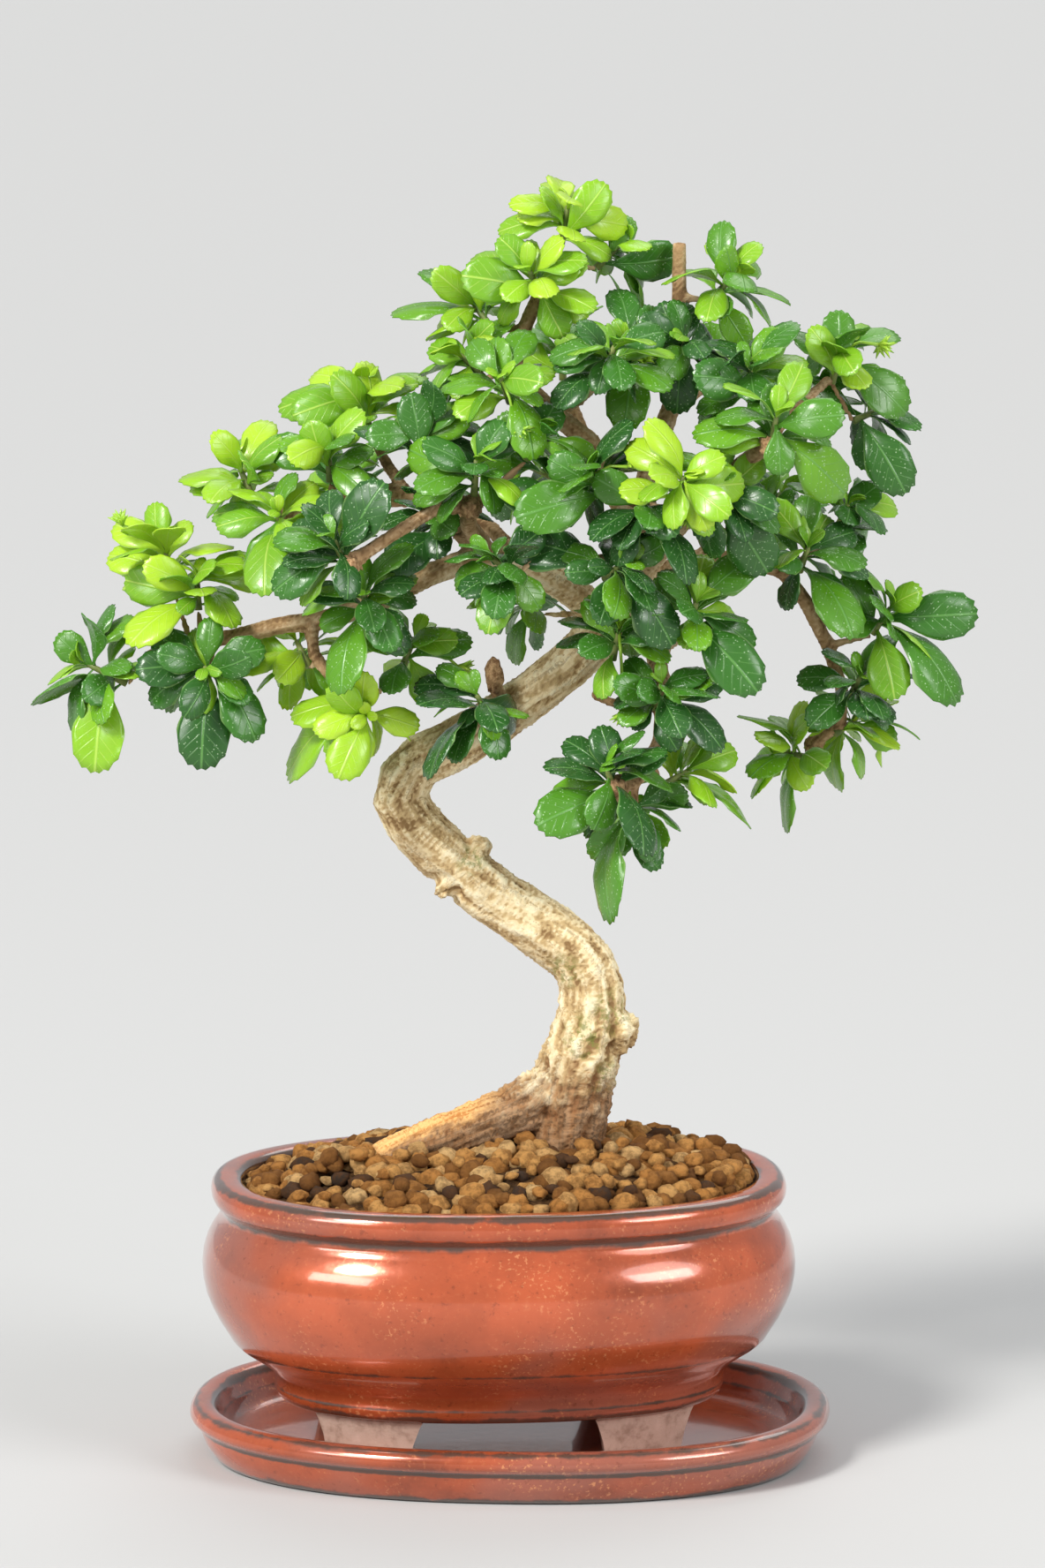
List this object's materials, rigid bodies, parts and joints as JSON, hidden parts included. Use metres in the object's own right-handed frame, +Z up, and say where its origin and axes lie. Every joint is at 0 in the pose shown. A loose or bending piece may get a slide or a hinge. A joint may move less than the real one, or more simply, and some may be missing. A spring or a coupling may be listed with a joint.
{
  "type": "bonsai tree in oval pot",
  "caption": "small-leaved bonsai tree with an S-curved trunk, growing in an oval glazed pot that stands on four feet in an oval drip tray",
  "frame": {"origin": "on the surface the tray stands on, under the middle of the pot", "axes": "+X to the right along the pot, +Y away from the viewer, +Z up"},
  "size_m": [0.2519, 0.1338, 0.3454],
  "materials": {
    "pot_glaze": "glossy copper-brown glaze",
    "tray_glaze": "glossy copper-brown glaze",
    "soil": "matte baked-clay granules",
    "bark": "rough pale bark",
    "young_leaf": "satin young leaf",
    "grown_leaf": "glossy grown leaf"
  },
  "bodies": {
    "root": {"drip_tray": "tray_glaze", "pot": "pot_glaze", "soil": "soil", "trunk": "bark", "shoot_apex": "young_leaf", "shoot_back_crown": "grown_leaf", "shoot_back_left": "grown_leaf", "shoot_back_low": "grown_leaf", "shoot_back_middle": "grown_leaf", "shoot_back_right": "grown_leaf", "shoot_big_front": "grown_leaf", "shoot_big_right": "grown_leaf", "shoot_centre_front": "grown_leaf", "shoot_centre_left": "grown_leaf", "shoot_crest_front": "young_leaf", "shoot_crown_left": "young_leaf", "shoot_dark_front": "grown_leaf", "shoot_drop_end": "young_leaf", "shoot_drop_low": "young_leaf", "shoot_drop_mid": "grown_leaf", "shoot_far_left": "grown_leaf", "shoot_far_right": "grown_leaf", "shoot_hanging": "grown_leaf", "shoot_inner_dark": "grown_leaf", "shoot_inner_left": "young_leaf", "shoot_knob_front": "grown_leaf", "shoot_knob_left": "grown_leaf", "shoot_knob_low": "grown_leaf", "shoot_knob_right": "grown_leaf", "shoot_left_bend": "young_leaf", "shoot_left_crest": "young_leaf", "shoot_left_low": "grown_leaf", "shoot_left_mid": "young_leaf", "shoot_left_rise": "young_leaf", "shoot_left_tip": "young_leaf", "shoot_lime_front": "young_leaf", "shoot_low_front": "grown_leaf", "shoot_mid_front": "grown_leaf", "shoot_mid_top": "grown_leaf", "shoot_pale_left": "young_leaf", "shoot_pale_low": "young_leaf", "shoot_right_crown": "grown_leaf", "shoot_right_dark": "grown_leaf", "shoot_right_droop": "grown_leaf", "shoot_right_edge": "grown_leaf", "shoot_right_inner": "grown_leaf", "shoot_right_low": "grown_leaf", "shoot_right_mid": "grown_leaf", "shoot_round_front": "grown_leaf", "shoot_shoulder_front": "grown_leaf", "shoot_shoulder_left": "young_leaf", "shoot_top_gap": "grown_leaf", "shoot_top_left": "young_leaf", "shoot_top_right": "young_leaf", "shoot_trunk_dark": "grown_leaf", "shoot_trunk_front": "grown_leaf", "shoot_under_apex": "young_leaf", "shoot_under_left": "grown_leaf", "shoot_under_mid": "grown_leaf", "shoot_upper_right": "grown_leaf"}
  },
  "joints": []
}
